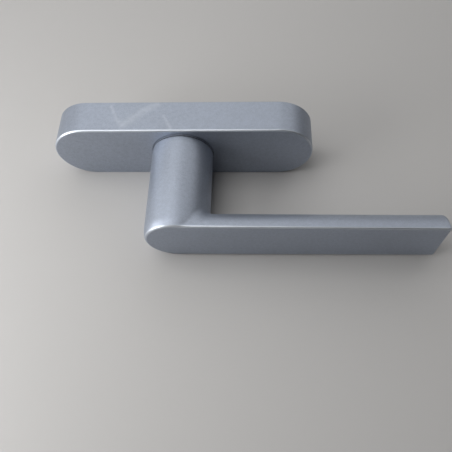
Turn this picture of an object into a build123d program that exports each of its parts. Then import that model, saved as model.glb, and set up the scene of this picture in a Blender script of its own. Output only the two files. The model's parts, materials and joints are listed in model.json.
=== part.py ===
from build123d import *
from math import cos, radians, sin, sqrt
import os

# Window handle, lying on its long side. Millimetres.
# +X runs along the rosette and the closed lever, -Y along the neck towards the hand, +Z is up.
# The origin is on the neck axis, in the plane of the mounting face.
# A height in this file is a distance from that plane along -Y.

# Grip and neck
neck_d = 22.0
projection = 49.0
lever_reach = 87.0
lever_depth = 9.0
bar_step = 1.25
face_edge_r = 0.5
neck_end_r = 1.6
neck_end_tapers = 3
tip_chamfer = 0.4
corner_r = 3.5
shoulder_chamfer = 0.1

# Rosette cover
rosette_l = 94.0
rosette_border = 1.75
rosette_d = 13.0
cover_wall = 1.7
cover_front = 1.8
cover_edge = 0.5
hole_gap = 0.15

# Bearing at the foot of the neck
ring_h = 0.4
slide_washer_t = 0.2
slide_washer_step = 0.1
shoulder_w = 3.0
journal_lip = 0.7
run_clear = 0.05
web_clear = 0.1
bush_wall = 1.2
bush_seat_t = 1.0
groove_depth = 0.5
snap_ring_t = 1.0
snap_ring_wall = 1.2
snap_ring_gap = 4.0
thrust_washer_t = 0.6
thrust_washer_w = 0.9
thrust_washer_gap = 0.3
fit_clear = 0.02
axial_play = 0.1

# Spindle sleeve with its detent cam
spindle_size = 7.0
spindle_clear = 0.05
sleeve_l = 18.7
sleeve_size = 10.0
sleeve_corner_r = 1.5
socket_chamfer = 0.4
cam_size = 13.0
cam_corner_r = 3.0
cam_t = 4.0

# Detent springs, and the plate that holds them in
leaf_l = 22.4
leaf_t = 0.6
leaf_w = 3.6
leaf_gap = 0.05
leaf_seat_l = 2.4
leaf_end_gap = 0.3
flex_room = 2.1
back_plate_t = 1.2
back_plate_corner_r = 2.0
back_plate_gap = 0.1
back_plate_edge = 1.3
back_plate_end = 0.5
back_hole_d = 11.0
plate_screw_wall = 0.85
plate_screw_d = 2.5
plate_screw_l = 5.5
plate_screw_head_d = 4.4
plate_screw_head_t = 0.7
plate_screw_slot_w = 0.6
plate_screw_slot_depth = 0.4

# Base plate
base_gap = 0.15
base_t = 3.0
base_rim_t = 1.5
base_rim_h = 8.0
boss_wall = 1.35
block_end = 1.8
screw_spacing = 43.0
screw_hole_d = 5.2
screw_head_d = 10.2
screw_boss_wall = 1.1
screw_boss_h = 5.0
lug_d = 10.0
lug_h = 2.2
lug_chamfer = 0.3
rib_t = 1.4
rib_h = 5.5
rib_x = 31.0
rib_pitch = 4.5
rib_count = 2

# Spring clips that hold the cover
clip_t = 0.4
clip_w = 5.0
clip_h = 4.6
clip_reach = 2.4
clip_bulge_h = 2.4
clip_top_l = 1.0
clip_bend_r = 0.5
clip_gap = 0.05
clip_side_gap = 0.4
clip_post_t = 1.6

neck_r = neck_d / 2
journal_d = neck_d - 2 * shoulder_w
rosette_w = neck_d + 2 * rosette_border
neck_end_h = projection - neck_end_r
ring_top_h = rosette_d + ring_h
shoulder_h = ring_top_h + slide_washer_t
boss_h = rosette_d - cover_front
cam_back_h = back_plate_t + axial_play
cam_front_h = cam_back_h + cam_t
snap_back_h = cam_front_h + journal_lip
snap_front_h = snap_back_h + snap_ring_t
washer_front_h = snap_front_h + thrust_washer_t
web_h = washer_front_h + axial_play
bush_back_h = web_h + bush_seat_t
bore_d = journal_d + 2 * run_clear
bush_d = bore_d + 2 * bush_wall
thrust_washer_d = bore_d + 2 * thrust_washer_w
sleeve_end_h = cam_back_h + sleeve_l
base_l = rosette_l - 2 * cover_wall - 2 * base_gap
base_w = rosette_w - 2 * cover_wall - 2 * base_gap
pocket_l = leaf_l + 2 * leaf_end_gap
plate_screw_x = pocket_l / 2 + plate_screw_wall + plate_screw_d / 2
back_plate_l = 2 * (plate_screw_x + plate_screw_head_d / 2 + back_plate_end)
block_l = back_plate_l + 2 * block_end
spring_z = cam_size / 2 + leaf_gap
pocket_w = 2 * (spring_z + leaf_t + flex_room)
screw_x = screw_spacing / 2

neck_axis = Axis((0, 0, 0), (0, -1, 0))
# Looks along +X with +Z to the right and the hand above
across = Plane(origin=(0, 0, 0), x_dir=(0, 0, 1), z_dir=(1, 0, 0))
# Looks down on the long side with +X to the right and the hand above
lengthways = Plane(origin=(0, 0, 0), x_dir=(1, 0, 0), z_dir=(0, 0, -1))


def prism(sketch, low, high):
    """A flat shape in the X-Z plane, filled between two heights."""
    return extrude(Plane.XZ.offset(low) * sketch, amount=high - low)


def disc(diameter, low, high, x=0.0):
    """A round bar along the neck's direction, between two heights."""
    return prism(Pos(x, 0) * Circle(diameter / 2), low, high)


def cone(low_d, high_d, low, high, x=0.0):
    """A round taper along the neck's direction, from one diameter and height to another."""
    foot = Plane.XZ.offset(low) * Pos(x, 0) * Circle(low_d / 2)
    top = Plane.XZ.offset(high) * Pos(x, 0) * Circle(high_d / 2)
    return loft([foot.face(), top.face()])


def rounded_square(size, radius):
    return RectangleRounded(size, size, radius)


def lever_bar():
    """The bar has a flat face with rounded edges and a back that is nearly half round."""
    half_w = neck_r - bar_step
    face_line = Line((half_w, projection), (-half_w, projection))
    back = ThreePointArc((-half_w, projection), (0, projection - lever_depth), (half_w, projection))
    section = make_face(face_line + back)
    section = fillet(section.vertices(), face_edge_r)
    bar = extrude(across * section, amount=lever_reach)
    return chamfer(bar.faces().sort_by(Axis.X)[-1].edges(), tip_chamfer)


def neck_end():
    """The rounded end of the neck: short tapers that follow a quarter circle."""
    rim = []
    for i in range(neck_end_tapers + 1):
        turn = radians(90 * i / neck_end_tapers)
        rim.append((neck_r - neck_end_r * (1 - cos(turn)), neck_end_h + neck_end_r * sin(turn)))
    profile = Polyline((0, neck_end_h), *rim, (0, projection), close=True)
    return revolve(across * make_face(profile), neck_axis)


# The bar is narrower than the neck and grows out of it. Behind the neck's rounded end, the line where
# their two round surfaces meet is rounded as well, from one side round the inside corner to the other.
def grip_casting():
    bar = lever_bar()
    neck = disc(neck_d, shoulder_h, neck_end_h)
    bar_back = bar - prism(Rectangle(4 * lever_reach, 2 * neck_d), neck_end_h, projection)
    grip = neck + bar_back
    crease = new_edges(neck, bar_back, combined=grip).filter_by(GeomType.BSPLINE)
    grip = fillet(crease, corner_r) + neck_end() + bar
    return chamfer(grip.faces().sort_by(Axis.Y)[-1].edges(), shoulder_chamfer)


def lever():
    """Grip, neck and journal in one casting, with the square pocket for the spindle sleeve."""
    journal = disc(journal_d, cam_front_h, shoulder_h)
    groove = disc(neck_d, snap_back_h, snap_front_h)
    groove -= disc(journal_d - 2 * groove_depth, snap_back_h, snap_front_h)
    journal -= groove
    pocket = rounded_square(sleeve_size + 2 * fit_clear, sleeve_corner_r)
    return grip_casting() + journal - prism(pocket, cam_front_h, sleeve_end_h + fit_clear)


def spindle_sleeve():
    """Square sleeve for the window's spindle, with the square cam that the leaf springs hold."""
    sleeve = prism(rounded_square(sleeve_size, sleeve_corner_r), cam_front_h, sleeve_end_h)
    sleeve += prism(rounded_square(cam_size, cam_corner_r), cam_back_h, cam_front_h)
    socket = Rectangle(spindle_size + 2 * spindle_clear, spindle_size + 2 * spindle_clear)
    sleeve -= prism(socket, cam_back_h, sleeve_end_h)
    mouth = sleeve.faces().sort_by(Axis.Y)[-1].inner_wires()[0].edges()
    return chamfer(mouth, socket_chamfer)


def slide_washer():
    washer = disc(neck_d - 2 * slide_washer_step, ring_top_h, shoulder_h)
    return washer - disc(bore_d, ring_top_h, shoulder_h)


def guide_ring():
    """Flanged bush: its flange is the ring seen at the foot of the neck."""
    ring = disc(neck_d, boss_h, ring_top_h) + disc(bush_d, bush_back_h, boss_h)
    return ring - disc(bore_d, bush_back_h, ring_top_h)


def thrust_washer():
    washer = disc(thrust_washer_d, snap_front_h, washer_front_h)
    return washer - disc(bore_d, snap_front_h, washer_front_h)


def snap_ring():
    """Open ring in the journal's groove."""
    inner_r = journal_d / 2 - groove_depth + fit_clear
    low = snap_back_h + fit_clear
    high = snap_front_h - fit_clear
    ring = disc(2 * (inner_r + snap_ring_wall), low, high) - disc(2 * inner_r, low, high)
    opening = Pos(-inner_r - snap_ring_wall / 2, 0) * Rectangle(2 * snap_ring_wall, snap_ring_gap)
    ring -= prism(opening, low, high)
    return ring


def rosette_cover():
    """Open-backed shell with round ends and a broken front edge, pierced for the guide ring."""
    cover = prism(SlotOverall(rosette_l, rosette_w), 0, rosette_d)
    cover = chamfer(cover.faces().sort_by(Axis.Y)[0].edges(), cover_edge)
    inside = SlotOverall(rosette_l - 2 * cover_wall, rosette_w - 2 * cover_wall)
    cover -= prism(inside, 0, boss_h)
    return cover - disc(neck_d + 2 * hole_gap, boss_h, rosette_d)


def clip_line(x_post):
    """The clip's middle line: up the post, over its top and down the bowed outer leg."""
    foot_h = base_t
    top_h = base_t + clip_h
    bulge_x = x_post + clip_reach
    return FilletPolyline(
        (x_post, foot_h),
        (x_post, top_h),
        (x_post + clip_top_l, top_h),
        (bulge_x, foot_h + clip_bulge_h),
        (x_post + clip_top_l, foot_h + clip_t),
        radius=clip_bend_r,
    )


def clip_post_face():
    """Where the clip's post ends, so that the clip just meets the cover's round end."""
    end_r = rosette_w / 2 - cover_wall
    end_x = rosette_l / 2 - rosette_w / 2 + sqrt(end_r**2 - (clip_w / 2) ** 2)
    return end_x - clip_gap - clip_t - clip_reach


def cover_clip(side):
    line = clip_line(clip_post_face() + clip_t / 2)
    clip = extrude(lengthways * trace(line, clip_t), amount=clip_w / 2, both=True)
    return clip if side > 0 else Rot(0, 180, 0) * clip


def leaf_spring(side):
    """Flat strip along one side of the cam, carried at both ends."""
    strip = Pos(0, side * (spring_z + leaf_t / 2)) * Rectangle(leaf_l, leaf_t)
    return prism(strip, cam_back_h, cam_back_h + leaf_w)


def back_plate():
    """Steel plate let into the back of the base, behind the cam and its springs."""
    plate_w = base_w - 2 * back_plate_edge
    plate = prism(RectangleRounded(back_plate_l, plate_w, back_plate_corner_r), 0, back_plate_t)
    plate -= disc(back_hole_d, 0, back_plate_t)
    for side in (-1, 1):
        plate -= plate_screw_body(side, fit_clear)
    return plate


def plate_screw_body(side, clear):
    """A flat-headed screw's outside, grown by a clearance."""
    x = side * plate_screw_x
    head = disc(plate_screw_head_d + 2 * clear, 0, plate_screw_head_t + clear, x)
    return head + disc(plate_screw_d + 2 * clear, 0, plate_screw_l + clear, x)


def plate_screw(side):
    x = side * plate_screw_x
    slot = Pos(x, 0) * Rectangle(plate_screw_head_d, plate_screw_slot_w)
    return plate_screw_body(side, 0) - prism(slot, 0, plate_screw_slot_depth)


def base_plate():
    """Cast plate with a rim, a boss for the bearing, screw bosses, locating lugs and ribs."""
    outline = SlotOverall(base_l, base_w)
    inside = SlotOverall(base_l - 2 * base_rim_t, base_w - 2 * base_rim_t)
    base = prism(outline, 0, base_t)
    base += prism(outline - inside, 0, base_rim_h)
    base += prism(Rectangle(block_l, base_w), 0, bush_back_h)
    base += disc(bush_d + 2 * boss_wall, 0, boss_h)
    post_x = clip_post_face() - clip_post_t / 2
    for side in (-1, 1):
        for i in range(rib_count):
            rib = Pos(side * (rib_x + i * rib_pitch), 0) * Rectangle(rib_t, base_w)
            base += prism(rib & outline, 0, rib_h)
        post = Pos(side * post_x, 0) * Rectangle(clip_post_t, clip_w)
        base += prism(post, 0, base_t + clip_h - clip_t / 2)
        notch_l = base_l / 2 - clip_post_face()
        notch = Pos(side * (clip_post_face() + notch_l / 2), 0)
        notch *= Rectangle(notch_l, clip_w + 2 * clip_side_gap)
        base -= prism(notch, base_t, base_rim_h)
        base += disc(screw_head_d + 2 * screw_boss_wall, 0, screw_boss_h, side * screw_x)
        lug = disc(lug_d, -lug_h, 0, side * screw_x)
        base += chamfer(lug.edges().sort_by(Axis.Y)[-1], lug_chamfer)
        base -= disc(screw_head_d, screw_boss_h, bush_back_h, side * screw_x)
        base -= disc(screw_hole_d, -lug_h, screw_boss_h, side * screw_x)
        head_t = (screw_head_d - screw_hole_d) / 2
        low = screw_boss_h - head_t
        base -= cone(screw_hole_d, screw_head_d, low, screw_boss_h, side * screw_x)
        base -= plate_screw_body(side, fit_clear)

    recess_w = base_w - 2 * back_plate_edge + 2 * back_plate_gap
    recess = RectangleRounded(back_plate_l + 2 * back_plate_gap, recess_w, back_plate_corner_r)
    spring_room = Rectangle(pocket_l - 2 * leaf_end_gap - 2 * leaf_seat_l, pocket_w)
    pocket = Rectangle(pocket_l, 2 * (spring_z + leaf_t)) + spring_room
    base -= prism(recess, 0, back_plate_t)
    base -= prism(pocket, back_plate_t, cam_front_h + axial_play)
    base -= disc(thrust_washer_d + 2 * thrust_washer_gap, cam_front_h + axial_play, web_h)
    base -= disc(journal_d + 2 * web_clear, web_h, bush_back_h)
    base -= disc(bush_d + 2 * fit_clear, bush_back_h, boss_h)
    return base


parts = {
    "lever": lever(),
    "spindle_sleeve": spindle_sleeve(),
    "snap_ring": snap_ring(),
    "thrust_washer": thrust_washer(),
    "slide_washer": slide_washer(),
    "guide_ring": guide_ring(),
    "rosette_cover": rosette_cover(),
    "base_plate": base_plate(),
    "back_plate": back_plate(),
}
for side, place in ((-1, "left"), (1, "right")):
    parts["plate_screw_" + place] = plate_screw(side)
    parts["cover_clip_" + place] = cover_clip(side)
for side, place in ((-1, "lower"), (1, "upper")):
    parts["leaf_spring_" + place] = leaf_spring(side)

os.makedirs("parts", exist_ok=True)
for node, solid in parts.items():
    export_step(solid, f"parts/{node}.step")
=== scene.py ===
import json
from math import atan2, cos, pi, radians, sin

import bmesh
import bpy
import numpy as np
from mathutils import Matrix, Vector


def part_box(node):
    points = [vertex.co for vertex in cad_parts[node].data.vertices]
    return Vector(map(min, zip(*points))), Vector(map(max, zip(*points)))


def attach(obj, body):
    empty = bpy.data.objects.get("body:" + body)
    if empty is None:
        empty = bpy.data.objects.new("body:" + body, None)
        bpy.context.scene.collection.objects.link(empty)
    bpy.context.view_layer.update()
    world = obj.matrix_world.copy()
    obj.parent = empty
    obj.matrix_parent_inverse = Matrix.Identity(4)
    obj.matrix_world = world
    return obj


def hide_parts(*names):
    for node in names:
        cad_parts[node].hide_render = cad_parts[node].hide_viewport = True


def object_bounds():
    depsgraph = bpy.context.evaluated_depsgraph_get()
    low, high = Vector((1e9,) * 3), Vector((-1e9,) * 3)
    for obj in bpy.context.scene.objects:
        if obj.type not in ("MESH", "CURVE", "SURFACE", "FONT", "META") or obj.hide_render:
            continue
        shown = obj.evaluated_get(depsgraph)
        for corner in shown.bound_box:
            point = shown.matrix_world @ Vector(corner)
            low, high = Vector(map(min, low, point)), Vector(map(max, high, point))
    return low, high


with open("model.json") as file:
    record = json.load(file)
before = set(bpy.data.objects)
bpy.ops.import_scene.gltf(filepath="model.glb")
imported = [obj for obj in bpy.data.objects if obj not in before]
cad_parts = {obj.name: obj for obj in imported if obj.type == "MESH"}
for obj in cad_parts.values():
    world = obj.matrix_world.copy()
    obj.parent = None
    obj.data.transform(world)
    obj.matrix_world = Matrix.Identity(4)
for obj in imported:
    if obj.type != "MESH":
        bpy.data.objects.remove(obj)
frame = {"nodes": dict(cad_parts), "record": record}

# A window handle that lies on its long side. Metres; +X runs along the rosette and the lever,
# -Y along the neck towards the hand, +Z is up. The origin is in the mounting face, and a
# height is a distance from that face along -Y.
cad_low, cad_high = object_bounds()
nodes = frame["nodes"]
MM = 0.001

# ---------------------------------------------------------------- materials

METAL = (0.382, 0.42, 0.492)
# Painted highlight: the lighter colour given to the rounded front edges.
PAINTED_HIGHLIGHT = (0.74, 0.78, 0.84)
WIPE = (0.6, 0.64, 0.69)
WIPE_STRENGTH = 0.45
WIPE_FADE = 1.2
WIPE_Z = 12.75

# Scales of the noise in the metal and in the inner pieces, in cells to the metre.
FINE_GRAIN = 3200.0
COARSE_GRAIN = 900.0
CLOUDS = 70.0
INNER_GRAIN = 1800.0

# Pale dried wipes on the rosette's upper long side: a hooked one and a short one near the neck.
# Points in X and Y, and the half width from each point to the next, in millimetres.
WIPES = (
    (
        ((-25.2, -1.7), (-22.2, -8.0), (-20.2, -10.2), (-17.6, -8.1), (-13.4, -4.0), (-8.7, -1.1)),
        (0.8, 1.3, 1.9, 2.1, 1.9),
    ),
    (
        ((-5.8, -6.3), (-4.5, -9.0), (-3.2, -11.8)),
        (0.7, 0.9),
    ),
)


def new_material(name):
    material = bpy.data.materials.new(name)
    material.use_nodes = True
    tree = material.node_tree
    return material, tree, tree.nodes["Principled BSDF"]


def add(tree, kind, inputs=None, **settings):
    """A shader node with its settings and the values or links of its inputs."""
    node = tree.nodes.new(kind)
    for key, value in settings.items():
        setattr(node, key, value)
    for key, value in (inputs or {}).items():
        if isinstance(value, bpy.types.NodeSocket):
            tree.links.new(value, node.inputs[key])
        else:
            node.inputs[key].default_value = value
    return node


def calculate(tree, operation, first, second):
    return add(tree, "ShaderNodeMath", {0: first, 1: second}, operation=operation).outputs["Value"]


def vector(tree, operation, inputs):
    return add(tree, "ShaderNodeVectorMath", inputs, operation=operation).outputs


def spread(tree, value, low, high, start=0.3, end=0.7, **settings):
    """A value stretched to a range; a noise runs from about 0.3 to about 0.7."""
    ends = {"Value": value, "From Min": start, "From Max": end, "To Min": low, "To Max": high}
    return add(tree, "ShaderNodeMapRange", ends, **settings).outputs["Result"]


def noise(tree, place, scale, detail):
    inputs = {"Vector": place, "Scale": scale, "Detail": detail}
    return add(tree, "ShaderNodeTexNoise", inputs).outputs["Fac"]


def scaled(tree, color, factor):
    return vector(tree, "SCALE", {0: color, "Scale": factor})["Vector"]


def mixed(tree, factor, first, second):
    """Two colours mixed."""
    inputs = {"Factor": factor, 6: first, 7: second}
    return add(tree, "ShaderNodeMix", inputs, data_type="RGBA").outputs[2]


def grained(tree, shader, height, depth):
    """A shallow bump."""
    bump = add(tree, "ShaderNodeBump", {"Height": height, "Strength": 0.3, "Distance": depth})
    tree.links.new(bump.outputs["Normal"], shader.inputs["Normal"])


def streak(tree, place, start, end, half_width):
    """A mask that is 1 on a line between two points and fades out beside it."""
    first = Vector((*start, WIPE_Z)) * MM
    along = Vector((*end, WIPE_Z)) * MM - first
    offset = vector(tree, "SUBTRACT", {0: place, 1: first})["Vector"]
    dot = vector(tree, "DOT_PRODUCT", {0: offset, 1: along / along.length_squared})["Value"]
    share = add(tree, "ShaderNodeClamp", {"Value": dot}).outputs["Result"]
    foot = scaled(tree, along, share)
    beside = vector(tree, "SUBTRACT", {0: offset, 1: foot})["Vector"]
    away = vector(tree, "LENGTH", {0: beside})["Value"]
    width = WIPE_FADE * half_width * MM
    return spread(tree, away, 1.0, 0.0, 0.0, width, interpolation_type="SMOOTHSTEP")


def painted_highlight_mask(tree, front, height):
    """A mask for a painted highlight on the rounded edge round a flat front face, strongest on the
    upper side.
    """
    at = add(tree, "ShaderNodeTexCoord").outputs
    place = add(tree, "ShaderNodeSeparateXYZ", {"Vector": at["Object"]}).outputs
    normal = add(tree, "ShaderNodeSeparateXYZ", {"Vector": at["Normal"]}).outputs
    near = spread(tree, place["Y"], 0.0, 1.0, front + height, front + 0.7 * height)
    turned = spread(tree, normal["Y"], 0.0, 1.0, -0.995, -0.96)
    upper = spread(tree, normal["Z"], 0.3, 1.0, 0.1, 0.6)
    return calculate(tree, "MULTIPLY", calculate(tree, "MULTIPLY", near, turned), upper)


def satin_aluminium(name, front, edge_height, wipes=()):
    """Fine blasted and anodised metal: close grain, faint clouds, dried wipes, and a painted
    highlight on the rounded front edges, strongest on top, where the edges are also a little
    smoother.
    """
    material, tree, shader = new_material(name)
    place = add(tree, "ShaderNodeTexCoord").outputs["Object"]
    fine = noise(tree, place, FINE_GRAIN, 2.0)
    coarse = noise(tree, place, COARSE_GRAIN, 3.0)
    clouds = noise(tree, place, CLOUDS, 4.0)
    grain = spread(tree, coarse, 0.95, 1.05)
    tone = calculate(tree, "MULTIPLY", spread(tree, fine, 0.93, 1.07), grain)
    tone = calculate(tree, "MULTIPLY", tone, spread(tree, clouds, 0.96, 1.04))
    metal = scaled(tree, METAL, tone)
    rough = spread(tree, clouds, 0.46, 0.54)

    # Painted highlight on the rounded front edges, lightest on the upper side; the same mask also
    # makes these edges a little smoother.
    edge = painted_highlight_mask(tree, front, edge_height)
    highlight_and_buff = calculate(tree, "MULTIPLY", edge, spread(tree, clouds, 0.8, 1.0))
    metal = mixed(tree, highlight_and_buff, metal, (*PAINTED_HIGHLIGHT, 1))
    rough = calculate(tree, "SUBTRACT", rough, calculate(tree, "MULTIPLY", highlight_and_buff, 0.12))

    lines = [
        streak(tree, place, start, end, half_width)
        for points, half_widths in wipes
        for start, end, half_width in zip(points, points[1:], half_widths)
    ]
    if lines:
        mask = lines[0]
        for line in lines[1:]:
            mask = calculate(tree, "MAXIMUM", mask, line)
        patchy = calculate(tree, "MULTIPLY", mask, spread(tree, coarse, 0.45, 1.0))
        patchy = calculate(tree, "MULTIPLY", patchy, WIPE_STRENGTH)
        metal = mixed(tree, patchy, metal, (*WIPE, 1))
        rough = calculate(tree, "ADD", rough, calculate(tree, "MULTIPLY", patchy, 0.1))

    tree.links.new(metal, shader.inputs["Base Color"])
    tree.links.new(rough, shader.inputs["Roughness"])
    shader.inputs["Metallic"].default_value = 0.9
    grained(tree, shader, fine, 0.03 * MM)
    return material


def plain_grained(name, color, metallic, roughness):
    """An even finish with a grain in its tone, its roughness and its surface."""
    material, tree, shader = new_material(name)
    place = add(tree, "ShaderNodeTexCoord").outputs["Object"]
    grain = noise(tree, place, INNER_GRAIN, 3.0)
    tone = spread(tree, grain, 0.85, 1.15, 0.25, 0.75)
    rough = spread(tree, grain, roughness - 0.07, roughness + 0.07, 0.25, 0.75)
    tree.links.new(scaled(tree, color, tone), shader.inputs["Base Color"])
    tree.links.new(rough, shader.inputs["Roughness"])
    shader.inputs["Metallic"].default_value = metallic
    grained(tree, shader, grain, 0.05 * MM)
    return material


finishes = {
    "satin_aluminium": satin_aluminium("satin_aluminium_look", cad_low[1], 1.6 * MM),
    "steel": plain_grained("zinc_plated_look", (0.6, 0.6, 0.57), 1.0, 0.38),
    "spring_steel": plain_grained("spring_steel_look", (0.36, 0.37, 0.4), 1.0, 0.3),
    "grey_polymer": plain_grained("grey_polymer_look", (0.09, 0.09, 0.1), 0.0, 0.55),
    "black_polymer": plain_grained("black_polymer_look", (0.07, 0.07, 0.075), 0.0, 0.6),
}
for part in frame["record"]["subparts"]:
    node = nodes[part["node"]]
    node.data.materials.clear()
    node.data.materials.append(finishes[part["material_slot"]])

# ---------------------------------------------------------------- rosette cover

COVER_WALL = 1.7 * MM
COVER_FRONT = 1.8 * MM
COVER_ROUND = 0.7 * MM
COVER_BACK_EDGE = 0.15 * MM
HOLE_R = 11.15 * MM
HOLE_EDGE = 0.1 * MM
SUPPORT = 0.2 * MM
ROUND_STEPS = 6
END_STEPS = 48
SIDE_STEPS = 60
SHARP_ANGLE = radians(35)


def stadium(half_l, half_w, inset):
    """Points round a shape with straight sides and half-round ends, pulled in by an inset."""
    radius = half_w - inset
    centre = half_l - half_w
    points = []
    for side in (1, -1):
        for i in range(END_STEPS):
            angle = pi * (i / END_STEPS - 0.5)
            points.append((side * (centre + radius * cos(angle)), side * radius * sin(angle)))
        for i in range(SIDE_STEPS):
            points.append((side * centre * (1 - 2 * i / SIDE_STEPS), side * radius))
    return points


def cover_mesh(name, box):
    """The cover as one closed skin of loops, with a finely rounded front edge."""
    half_l = -box[0].x
    half_w = box[1].z
    depth = -box[0].y
    inner_h = depth - COVER_FRONT
    loops = []

    def outline(inset, height):
        loops.append([(x, -height, z) for x, z in stadium(half_l, half_w, inset)])

    def circle(radius, height):
        loop = []
        for x, z in stadium(half_l, half_w, 0.0):
            angle = atan2(z, x)
            loop.append((radius * cos(angle), -height, radius * sin(angle)))
        loops.append(loop)

    outline(COVER_WALL, 0.0)
    outline(COVER_BACK_EDGE, 0.0)
    outline(0.0, COVER_BACK_EDGE)
    outline(0.0, COVER_BACK_EDGE + SUPPORT)
    outline(0.0, depth - COVER_ROUND - SUPPORT)
    for i in range(ROUND_STEPS + 1):
        turned = pi / 2 * i / ROUND_STEPS
        outline(COVER_ROUND * (1 - cos(turned)), depth - COVER_ROUND * (1 - sin(turned)))
    outline(COVER_ROUND + SUPPORT, depth)
    circle(HOLE_R + HOLE_EDGE + SUPPORT, depth)
    circle(HOLE_R + HOLE_EDGE, depth)
    circle(HOLE_R, depth - HOLE_EDGE)
    circle(HOLE_R, inner_h)
    circle(HOLE_R + SUPPORT, inner_h)
    outline(COVER_WALL, inner_h)

    shape = bmesh.new()
    rings = [[shape.verts.new(point) for point in loop] for loop in loops]
    count = len(rings[0])
    for ring, following in zip(rings, rings[1:] + rings[:1]):
        for i in range(count):
            j = (i + 1) % count
            shape.faces.new((ring[i], ring[j], following[j], following[i]))
    bmesh.ops.recalc_face_normals(shape, faces=shape.faces)
    mesh = bpy.data.meshes.new(name)
    shape.to_mesh(mesh)
    shape.free()
    mesh.shade_smooth()
    mesh.set_sharp_from_angle(angle=SHARP_ANGLE)
    return mesh


def place_skin(name, mesh, material, node, body):
    """A skin in its CAD node's place, on the body that the node belongs to."""
    mesh.materials.append(material)
    skin = bpy.data.objects.new(name, mesh)
    bpy.context.scene.collection.objects.link(skin)
    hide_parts(node)
    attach(skin, body)


cover_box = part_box("rosette_cover")
wiped = satin_aluminium("wiped_aluminium_look", cover_box[0].y, COVER_ROUND, WIPES)
cover_skin = cover_mesh("cover_skin", cover_box)
place_skin("cover_skin", cover_skin, wiped, "rosette_cover", "cover")

# ---------------------------------------------------------------- lever

# The skin outside the lever's foot, in millimetres: a neck that is drawn in towards the flat
# front face, and a bar with an arc for its back that narrows a little from root to tip.
NECK_R = 11.0
FACE_H = 49.0
TIP_X = 87.0
BAR_DEPTH = 9.0
HALF_W_ROOT = 10.3
HALF_W_TIP = 9.5
DRAWN_IN_H = 45.5
DRAWN_IN = 0.7
FACE_ROUND = 0.7
TIP_ROUND = 0.4

# The crease between neck and bar is blended more and more towards the inside corner.
CREASE_BLEND = 2.2
EDGE_BLEND = 0.4
BLEND_START_X = 3.5
BLEND_FULL_X = 9.0

# Only vertices in front of the foot and near the skin are moved.
OUTSIDE_H = 14.4
REACH = 1.2
MOVES = 6
SLOPE_STEP = 0.01
LEAST_SLOPE_SQUARED = 0.25
VOXEL = 0.32 * MM


def rounded_meet(first, second, radius):
    """Where two solids' skins meet in an outer edge, rounded."""
    corner = np.hypot(np.maximum(first + radius, 0), np.maximum(second + radius, 0))
    return np.minimum(np.maximum(first, second) + radius, 0) + corner - radius


def lever_distance(x, h, z):
    """How far points are outside the lever's skin, in millimetres."""
    drawn = np.clip((h - DRAWN_IN_H) / (FACE_H - DRAWN_IN_H), 0, 1) ** 2 * DRAWN_IN
    neck = np.hypot(x, z) - (NECK_R - drawn)
    half_w = HALF_W_ROOT + (HALF_W_TIP - HALF_W_ROOT) * np.clip(x / TIP_X, 0, 1)
    back_r = (half_w**2 + BAR_DEPTH**2) / (2 * BAR_DEPTH)
    bar = np.maximum(np.hypot(z, h - (FACE_H - BAR_DEPTH + back_r)) - back_r, -x)
    share = np.clip((x - BLEND_START_X) / (BLEND_FULL_X - BLEND_START_X), 0, 1)
    blend = EDGE_BLEND + (CREASE_BLEND - EDGE_BLEND) * share * share * (3 - 2 * share)
    near = np.maximum(blend - np.abs(neck - bar), 0) / blend
    joined = np.minimum(neck, bar) - near * near * blend / 4
    return rounded_meet(rounded_meet(joined, h - FACE_H, FACE_ROUND), x - TIP_X, TIP_ROUND)


def slopes(x, h, z):
    """How fast the distance grows along each axis."""
    step = SLOPE_STEP
    return (
        (lever_distance(x + step, h, z) - lever_distance(x - step, h, z)) / (2 * step),
        (lever_distance(x, h + step, z) - lever_distance(x, h - step, z)) / (2 * step),
        (lever_distance(x, h, z + step) - lever_distance(x, h, z - step)) / (2 * step),
    )


def lever_mesh(name, source):
    """The lever's own mesh, made even and fine, with its outside moved on to the skin."""
    rough = bpy.data.objects.new("rough_lever", source.copy())
    bpy.context.scene.collection.objects.link(rough)
    even = rough.modifiers.new("even", "REMESH")
    even.mode = "VOXEL"
    even.voxel_size = VOXEL
    shaped = rough.evaluated_get(bpy.context.evaluated_depsgraph_get())
    mesh = bpy.data.meshes.new_from_object(shaped)
    mesh.name = name
    bpy.data.objects.remove(rough)

    points = np.empty(3 * len(mesh.vertices))
    mesh.vertices.foreach_get("co", points)
    points = points.reshape(-1, 3) / MM
    x, h, z = points[:, 0].copy(), -points[:, 1], points[:, 2].copy()
    outside = (h > OUTSIDE_H) & (np.abs(lever_distance(x, h, z)) < REACH)
    for _ in range(MOVES):
        away = lever_distance(x, h, z)
        slope_x, slope_h, slope_z = slopes(x, h, z)
        steep = np.maximum(slope_x**2 + slope_h**2 + slope_z**2, LEAST_SLOPE_SQUARED)
        move = np.where(outside, away / steep, 0)
        x, h, z = x - move * slope_x, h - move * slope_h, z - move * slope_z
    points = np.stack((x, -h, z), axis=1) * MM
    mesh.vertices.foreach_set("co", points.ravel())
    mesh.shade_smooth()
    mesh.update()
    return mesh


lever_skin = lever_mesh("lever_skin", nodes["lever"].data)
lever_skin.materials.clear()
lever_look = satin_aluminium("lever_look", cad_low[1], FACE_ROUND * MM)
place_skin("lever_skin", lever_skin, lever_look, "lever", "lever")

# ---------------------------------------------------------------- camera

PITCH = radians(61.92)
YAW = radians(-5.58)
ROLL = radians(4.66)
CAMERA_AT = (24.3 * MM, -123.4 * MM, 151.2 * MM)
FOCAL_PIXELS = 508.8
FRAME_PIXELS = 452

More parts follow.
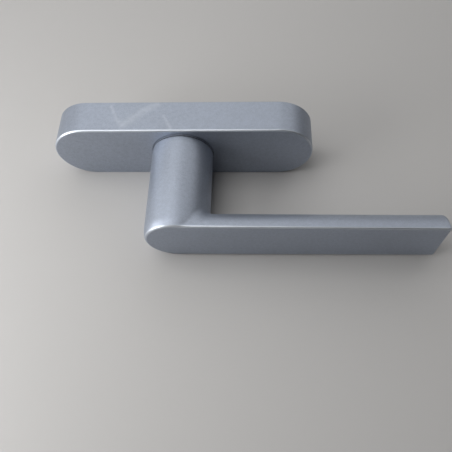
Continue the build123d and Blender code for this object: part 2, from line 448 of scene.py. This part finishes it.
lens = bpy.data.cameras.new("camera")
lens.sensor_width = 36
lens.lens = FOCAL_PIXELS / FRAME_PIXELS * lens.sensor_width
lens.clip_start = 0.005
lens.clip_end = 20
camera = bpy.data.objects.new("camera", lens)
bpy.context.scene.collection.objects.link(camera)
heading = Matrix.Rotation(-YAW, 4, "Z")
tilt = Matrix.Rotation(radians(90) - PITCH, 4, "X")
lean = Matrix.Rotation(-ROLL, 4, "Z")
camera.matrix_world = Matrix.Translation(CAMERA_AT) @ heading @ tilt @ lean
bpy.context.scene.camera = camera

# ---------------------------------------------------------------- floor

# The handle rests on the rosette's front edge and on the neck's end.
NECK_END = 1.6 * MM
COVER_EDGE = 0.5 * MM
FLOOR_SIZE = 6.0
FADE_START = 0.25
FADE_END = 0.85
PALE = (0.5, 0.49, 0.48, 1)

lever_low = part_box("lever")[0]
heel = Vector((0, cover_box[0].y + COVER_EDGE, cover_box[0].z))
toe = Vector((0, lever_low.y + NECK_END, lever_low.z))
slope = atan2(toe.z - heel.z, heel.y - toe.y)

floor_mesh = bpy.data.meshes.new("floor")
shape = bmesh.new()
bmesh.ops.create_grid(shape, x_segments=1, y_segments=1, size=FLOOR_SIZE / 2)
shape.to_mesh(floor_mesh)
shape.free()
floor = bpy.data.objects.new("floor", floor_mesh)
bpy.context.scene.collection.objects.link(floor)
floor.matrix_world = Matrix.Translation(heel) @ Matrix.Rotation(-slope, 4, "X")

# Far from the handle, where the lamps no longer reach, the floor is seen as pale as the backdrop.
look, tree, shader = new_material("floor_look")
shader.inputs["Base Color"].default_value = PALE
shader.inputs["Roughness"].default_value = 0.6
place = add(tree, "ShaderNodeTexCoord").outputs["Object"]
away = vector(tree, "LENGTH", {0: place})["Value"]
far = spread(tree, away, 0.0, 1.0, FADE_START, FADE_END, interpolation_type="SMOOTHSTEP")
seen = add(tree, "ShaderNodeLightPath").outputs["Is Camera Ray"]
glow = add(tree, "ShaderNodeEmission", {"Color": PALE, "Strength": 1.0}).outputs["Emission"]
share = calculate(tree, "MULTIPLY", far, seen)
faded = add(tree, "ShaderNodeMixShader", {0: share, 1: shader.outputs["BSDF"], 2: glow})
tree.links.new(faded.outputs["Shader"], tree.nodes["Material Output"].inputs["Surface"])
floor_mesh.materials.append(look)

# ---------------------------------------------------------------- light

DIM = (0.02, 0.02, 0.02, 1)
LIT_POINT = Vector((0.02, -0.02, 0))

# Name, azimuth and height in degrees, distance and size in metres, watts.
# Azimuth 0 is along +X and 90 along +Y.
LAMPS = (
    ("back_right", 30, 50, 1.3, 0.9, 1.55),
    ("back_low", 60, 30, 0.6, 0.5, 0.47),
    ("back_left", 110, 40, 0.5, 0.4, 0.38),
    ("back_far", 100, 18, 1.3, 0.9, 1.2),
    ("left_low", 170, 25, 0.4, 0.25, 0.35),
    ("left_high", 180, 70, 0.5, 0.4, 1.05),
    ("left_front", 205, 20, 0.28, 0.15, 0.47),
    ("front", 270, 20, 1.3, 0.9, 0.45),
)

for name, azimuth, height, distance, size, watts in LAMPS:
    lamp = bpy.data.lights.new(name, "AREA")
    lamp.shape = "SQUARE"
    lamp.size = size
    lamp.energy = watts
    flat = cos(radians(height))
    way = Vector((
        cos(radians(azimuth)) * flat,
        sin(radians(azimuth)) * flat,
        sin(radians(height)),
    ))
    holder = bpy.data.objects.new(name, lamp)
    bpy.context.scene.collection.objects.link(holder)
    holder.location = LIT_POINT + way * distance
    holder.rotation_mode = "QUATERNION"
    holder.rotation_quaternion = (-way).to_track_quat("-Z", "Y")

world = bpy.data.worlds.new("world")
world.use_nodes = True
tree = world.node_tree
background = tree.nodes["Background"]
seen = add(tree, "ShaderNodeLightPath").outputs["Is Camera Ray"]
tree.links.new(mixed(tree, seen, DIM, PALE), background.inputs["Color"])
background.inputs["Strength"].default_value = 1.0
bpy.context.scene.world = world
bpy.context.scene.view_settings.view_transform = "Standard"
